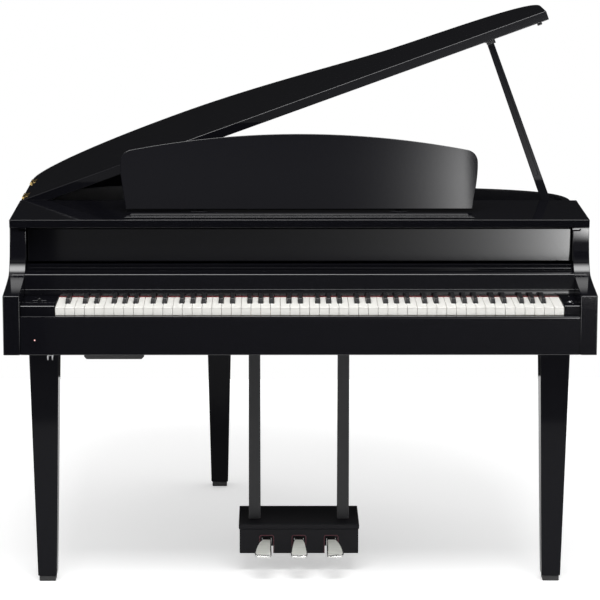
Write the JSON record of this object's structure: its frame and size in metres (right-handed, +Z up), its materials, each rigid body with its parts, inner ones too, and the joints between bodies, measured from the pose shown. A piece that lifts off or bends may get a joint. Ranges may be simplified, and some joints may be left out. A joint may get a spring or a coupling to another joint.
{
  "type": "digital grand piano",
  "caption": "Digital grand piano: winged case on legs, propped lid, music rest, folding key cover, hinged keys, pedal lyre.",
  "frame": {"origin": "on the floor under the middle of the case, half way from the arms' fronts to the tail", "axes": "+X to the player's right (treble), +Y from the player to the tail, +Z up"},
  "size_m": [1.43, 1.146, 1.3984],
  "materials": {
    "polished_black": "high gloss black lacquer",
    "painted_board": "satin black paint on board",
    "satin_black": "satin dark grey paint",
    "black_plastic": "moulded black",
    "white_keytop": "soft sheen, slightly warm white",
    "black_keytop": "matt black with a soft sheen",
    "red_felt": "pressed felt",
    "speaker_cloth": "board under dark grey cloth",
    "frame_wood": "bare planed wood",
    "driver_black": "black basket and cone",
    "brass_fitting": "lacquered brass",
    "pedal_metal": "polished",
    "steel_fitting": "plain steel"
  },
  "bodies": {
    "case": {"case_rim": "polished_black", "bottom_board": "painted_board", "left_woofer": "driver_black", "right_woofer": "driver_black", "left_arm": "polished_black", "right_arm": "polished_black", "key_slip": "polished_black", "top_board": "polished_black", "sound_deck": "speaker_cloth", "key_frame": "frame_wood", "left_end_block": "polished_black", "right_end_block": "polished_black", "name_board": "polished_black", "key_felt": "red_felt", "music_ledge": "polished_black", "lid_hinge_front": "brass_fitting", "lid_hinge_rear": "brass_fitting", "prop_bracket": "brass_fitting", "left_front_leg": "polished_black", "left_front_foot": "black_plastic", "right_front_leg": "polished_black", "right_front_foot": "black_plastic", "rear_leg": "polished_black", "rear_foot": "black_plastic", "pedal_box": "painted_board", "pedal_box_top": "painted_board", "pedal_axle": "steel_fitting", "left_lyre_post": "satin_black", "right_lyre_post": "satin_black", "jack_box": "black_plastic", "headphone_hook": "steel_fitting"},
    "lid": {"lid": "polished_black", "prop_cup": "brass_fitting"},
    "lid_prop": {"lid_prop": "polished_black"},
    "music_rest": {"music_rest": "polished_black"},
    "left_rest_strut": {"left_rest_strut": "brass_fitting"},
    "right_rest_strut": {"right_rest_strut": "brass_fitting"},
    "key_cover_panel": {"key_cover_panel": "polished_black"},
    "key_cover_leaf": {"key_cover_leaf": "polished_black"},
    "volume_slider": {"volume_slider": "black_plastic"},
    "power_button": {"power_button": "black_plastic"},
    "left_pedal": {"left_pedal": "pedal_metal"},
    "centre_pedal": {"centre_pedal": "pedal_metal"},
    "right_pedal": {"right_pedal": "pedal_metal"},
    "white_keys_low": {"white_keys_low": "white_keytop"},
    "white_key_c": {"white_key_c": "white_keytop"},
    "white_key_d": {"white_key_d": "white_keytop"},
    "white_key_e": {"white_key_e": "white_keytop"},
    "white_key_f": {"white_key_f": "white_keytop"},
    "white_key_g": {"white_key_g": "white_keytop"},
    "white_key_a": {"white_key_a": "white_keytop"},
    "white_key_b": {"white_key_b": "white_keytop"},
    "white_keys_high": {"white_keys_high": "white_keytop"},
    "black_keys_low": {"black_keys_low": "black_keytop"},
    "black_key_c_sharp": {"black_key_c_sharp": "black_keytop"},
    "black_key_d_sharp": {"black_key_d_sharp": "black_keytop"},
    "black_key_f_sharp": {"black_key_f_sharp": "black_keytop"},
    "black_key_g_sharp": {"black_key_g_sharp": "black_keytop"},
    "black_key_a_sharp": {"black_key_a_sharp": "black_keytop"},
    "black_keys_high": {"black_keys_high": "black_keytop"}
  },
  "joints": [
    {"name": "white_keys_low_press", "type": "hinge", "parent": "case", "child": "white_keys_low", "pos_m": [0, -0.323, 0.712], "axis": [1, 0, 0], "range_deg": [0, 2.5], "stiffness_Nm_per_rad": 27.6, "springref_deg": -11.46},
    {"name": "white_key_c_press", "type": "hinge", "parent": "case", "child": "white_key_c", "pos_m": [0, -0.323, 0.712], "axis": [1, 0, 0], "range_deg": [0, 2.5], "stiffness_Nm_per_rad": 1.2, "springref_deg": -11.46},
    {"name": "white_key_d_press", "type": "hinge", "parent": "case", "child": "white_key_d", "pos_m": [0, -0.323, 0.712], "axis": [1, 0, 0], "range_deg": [0, 2.5], "stiffness_Nm_per_rad": 1.2, "springref_deg": -11.46},
    {"name": "white_key_e_press", "type": "hinge", "parent": "case", "child": "white_key_e", "pos_m": [0, -0.323, 0.712], "axis": [1, 0, 0], "range_deg": [0, 2.5], "stiffness_Nm_per_rad": 1.2, "springref_deg": -11.46},
    {"name": "white_key_f_press", "type": "hinge", "parent": "case", "child": "white_key_f", "pos_m": [0, -0.323, 0.712], "axis": [1, 0, 0], "range_deg": [0, 2.5], "stiffness_Nm_per_rad": 1.2, "springref_deg": -11.46},
    {"name": "white_key_g_press", "type": "hinge", "parent": "case", "child": "white_key_g", "pos_m": [0, -0.323, 0.712], "axis": [1, 0, 0], "range_deg": [0, 2.5], "stiffness_Nm_per_rad": 1.2, "springref_deg": -11.46},
    {"name": "white_key_a_press", "type": "hinge", "parent": "case", "child": "white_key_a", "pos_m": [0, -0.323, 0.712], "axis": [1, 0, 0], "range_deg": [0, 2.5], "stiffness_Nm_per_rad": 1.2, "springref_deg": -11.46},
    {"name": "white_key_b_press", "type": "hinge", "parent": "case", "child": "white_key_b", "pos_m": [0, -0.323, 0.712], "axis": [1, 0, 0], "range_deg": [0, 2.5], "stiffness_Nm_per_rad": 1.2, "springref_deg": -11.46},
    {"name": "white_keys_high_press", "type": "hinge", "parent": "case", "child": "white_keys_high", "pos_m": [0, -0.323, 0.712], "axis": [1, 0, 0], "range_deg": [0, 2.5], "stiffness_Nm_per_rad": 26.4, "springref_deg": -11.46},
    {"name": "black_keys_low_press", "type": "hinge", "parent": "case", "child": "black_keys_low", "pos_m": [0, -0.323, 0.712], "axis": [1, 0, 0], "range_deg": [0, 2.5], "stiffness_Nm_per_rad": 12.8, "springref_deg": -11.46},
    {"name": "black_key_c_sharp_press", "type": "hinge", "parent": "case", "child": "black_key_c_sharp", "pos_m": [0, -0.323, 0.712], "axis": [1, 0, 0], "range_deg": [0, 2.5], "stiffness_Nm_per_rad": 0.8, "springref_deg": -11.46},
    {"name": "black_key_d_sharp_press", "type": "hinge", "parent": "case", "child": "black_key_d_sharp", "pos_m": [0, -0.323, 0.712], "axis": [1, 0, 0], "range_deg": [0, 2.5], "stiffness_Nm_per_rad": 0.8, "springref_deg": -11.46},
    {"name": "black_key_f_sharp_press", "type": "hinge", "parent": "case", "child": "black_key_f_sharp", "pos_m": [0, -0.323, 0.712], "axis": [1, 0, 0], "range_deg": [0, 2.5], "stiffness_Nm_per_rad": 0.8, "springref_deg": -11.46},
    {"name": "black_key_g_sharp_press", "type": "hinge", "parent": "case", "child": "black_key_g_sharp", "pos_m": [0, -0.323, 0.712], "axis": [1, 0, 0], "range_deg": [0, 2.5], "stiffness_Nm_per_rad": 0.8, "springref_deg": -11.46},
    {"name": "black_key_a_sharp_press", "type": "hinge", "parent": "case", "child": "black_key_a_sharp", "pos_m": [0, -0.323, 0.712], "axis": [1, 0, 0], "range_deg": [0, 2.5], "stiffness_Nm_per_rad": 0.8, "springref_deg": -11.46},
    {"name": "black_keys_high_press", "type": "hinge", "parent": "case", "child": "black_keys_high", "pos_m": [0, -0.323, 0.712], "axis": [1, 0, 0], "range_deg": [0, 2.5], "stiffness_Nm_per_rad": 12, "springref_deg": -11.46},
    {"name": "left_pedal_press", "type": "hinge", "parent": "case", "child": "left_pedal", "pos_m": [-0.0815, -0.243, 0.082], "axis": [1, 0, 0], "range_deg": [0, 6], "stiffness_Nm_per_rad": 10, "springref_deg": -8.59},
    {"name": "centre_pedal_press", "type": "hinge", "parent": "case", "child": "centre_pedal", "pos_m": [0, -0.243, 0.082], "axis": [1, 0, 0], "range_deg": [0, 6], "stiffness_Nm_per_rad": 10, "springref_deg": -8.59},
    {"name": "right_pedal_press", "type": "hinge", "parent": "case", "child": "right_pedal", "pos_m": [0.0815, -0.243, 0.082], "axis": [1, 0, 0], "range_deg": [0, 6], "stiffness_Nm_per_rad": 10, "springref_deg": -8.59},
    {"name": "lid_swing", "type": "hinge", "parent": "case", "child": "lid", "pos_m": [-0.711, 0, 0.9115], "axis": [0, -1, 0], "range_deg": [0, 12]},
    {"name": "prop_fold", "type": "hinge", "parent": "case", "child": "lid_prop", "pos_m": [0.647, -0.053, 0.884], "axis": [0, -1, 0], "range_deg": [0, 69]},
    {"name": "music_rest_fold", "type": "hinge", "parent": "case", "child": "music_rest", "pos_m": [0, -0.273, 0.9185], "axis": [-1, 0, 0], "range_deg": [0, 70]},
    {"name": "left_rest_strut_fold", "type": "hinge", "parent": "music_rest", "child": "left_rest_strut", "pos_m": [-0.25, -0.24406, 0.98778], "axis": [-1, 0, 0], "range_deg": [-130, 0]},
    {"name": "right_rest_strut_fold", "type": "hinge", "parent": "music_rest", "child": "right_rest_strut", "pos_m": [0.25, -0.24406, 0.98778], "axis": [-1, 0, 0], "range_deg": [-130, 0]},
    {"name": "key_cover_fold", "type": "hinge", "parent": "case", "child": "key_cover_panel", "pos_m": [0, -0.3296, 0.8], "axis": [1, 0, 0], "range_deg": [0, 90]},
    {"name": "key_cover_leaf_fold", "type": "hinge", "parent": "key_cover_panel", "child": "key_cover_leaf", "pos_m": [0, -0.3296, 0.882], "axis": [1, 0, 0], "range_deg": [-180, 0]},
    {"name": "volume_slide", "type": "slide", "parent": "case", "child": "volume_slider", "axis": [1, 0, 0], "range_m": [-0.015, 0.015]},
    {"name": "power_button_press", "type": "slide", "parent": "case", "child": "power_button", "axis": [0, 0, -1], "range_m": [0, 0.001], "stiffness_N_per_m": 300, "springref_m": -0.002}
  ],
  "couplings": [
    {"joint": "left_rest_strut_fold", "follows": "music_rest_fold", "ratio": -1.857},
    {"joint": "right_rest_strut_fold", "follows": "music_rest_fold", "ratio": -1.857},
    {"joint": "key_cover_leaf_fold", "follows": "key_cover_fold", "ratio": -2}
  ]
}
